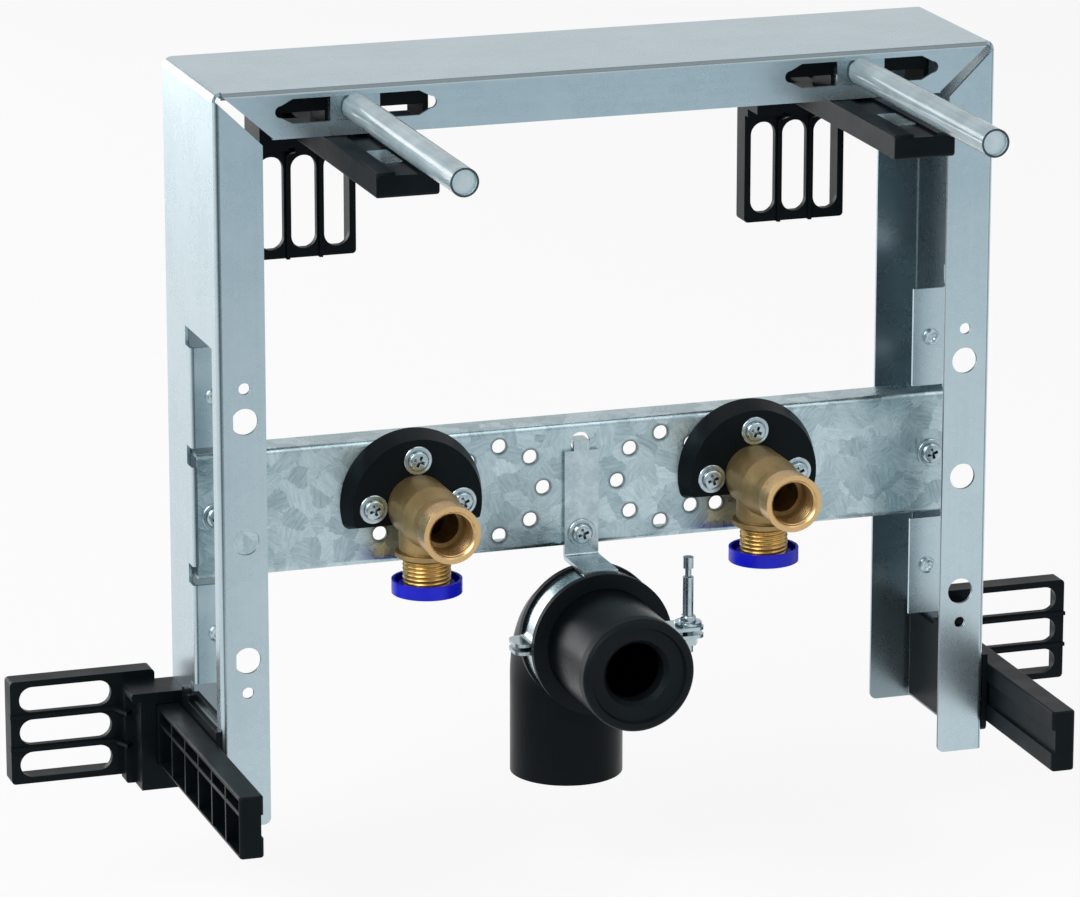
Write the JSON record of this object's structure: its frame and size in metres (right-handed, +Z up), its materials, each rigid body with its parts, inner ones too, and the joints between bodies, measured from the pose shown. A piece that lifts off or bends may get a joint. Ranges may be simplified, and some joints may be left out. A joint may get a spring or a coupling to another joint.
{
  "type": "basin installation frame",
  "caption": "Folded steel channel portal with a cross rail carrying brass tap elbows, a clamped black waste bend, sleeved basin rods and black plastic wall brackets.",
  "frame": {"origin": "centre of the back of the lower left wall foot, on the wall", "axes": "+X to the right seen from the front, +Y into the wall, +Z up"},
  "size_m": [0.4947, 0.238, 0.329],
  "materials": {
    "galvanised_channel": "galvanised sheet, satin",
    "spangled_rail": "hot-dip galvanised sheet with large spangle",
    "zinc_steel": "bright zinc plated",
    "sleeve_plastic": "milky plastic tube",
    "black_plastic": "moulded, slightly grained",
    "black_pipe": "smooth drain pipe",
    "black_rubber": "moulded rubber",
    "cast_brass": "sand cast with turned ends",
    "blue_plastic": "moulded cap"
  },
  "bodies": {
    "root": {"portal_frame": "galvanised_channel", "cross_rail": "spangled_rail", "hanger_strap": "zinc_steel", "clamp_upper_half": "zinc_steel", "clamp_lower_half": "zinc_steel", "clamp_lining": "black_rubber", "clamp_bolt": "zinc_steel", "waste_bend": "black_pipe", "waste_seal": "black_rubber", "basin_rod_left": "zinc_steel", "rod_sleeve_left": "sleeve_plastic", "rod_holder_left": "zinc_steel", "rod_slide_left": "black_plastic", "insulating_disc_left": "black_plastic", "brass_elbow_left": "cast_brass", "thread_cap_left": "blue_plastic", "upper_arm_left": "black_plastic", "upper_foot_left": "black_plastic", "lower_arm_left": "black_plastic", "lower_foot_left": "black_plastic", "lower_clip_left": "black_plastic", "basin_rod_right": "zinc_steel", "rod_sleeve_right": "sleeve_plastic", "rod_holder_right": "zinc_steel", "rod_slide_right": "black_plastic", "insulating_disc_right": "black_plastic", "brass_elbow_right": "cast_brass", "thread_cap_right": "blue_plastic", "upper_arm_right": "black_plastic", "upper_foot_right": "black_plastic", "lower_arm_right": "black_plastic", "lower_foot_right": "black_plastic", "lower_clip_right": "black_plastic"}
  },
  "joints": []
}
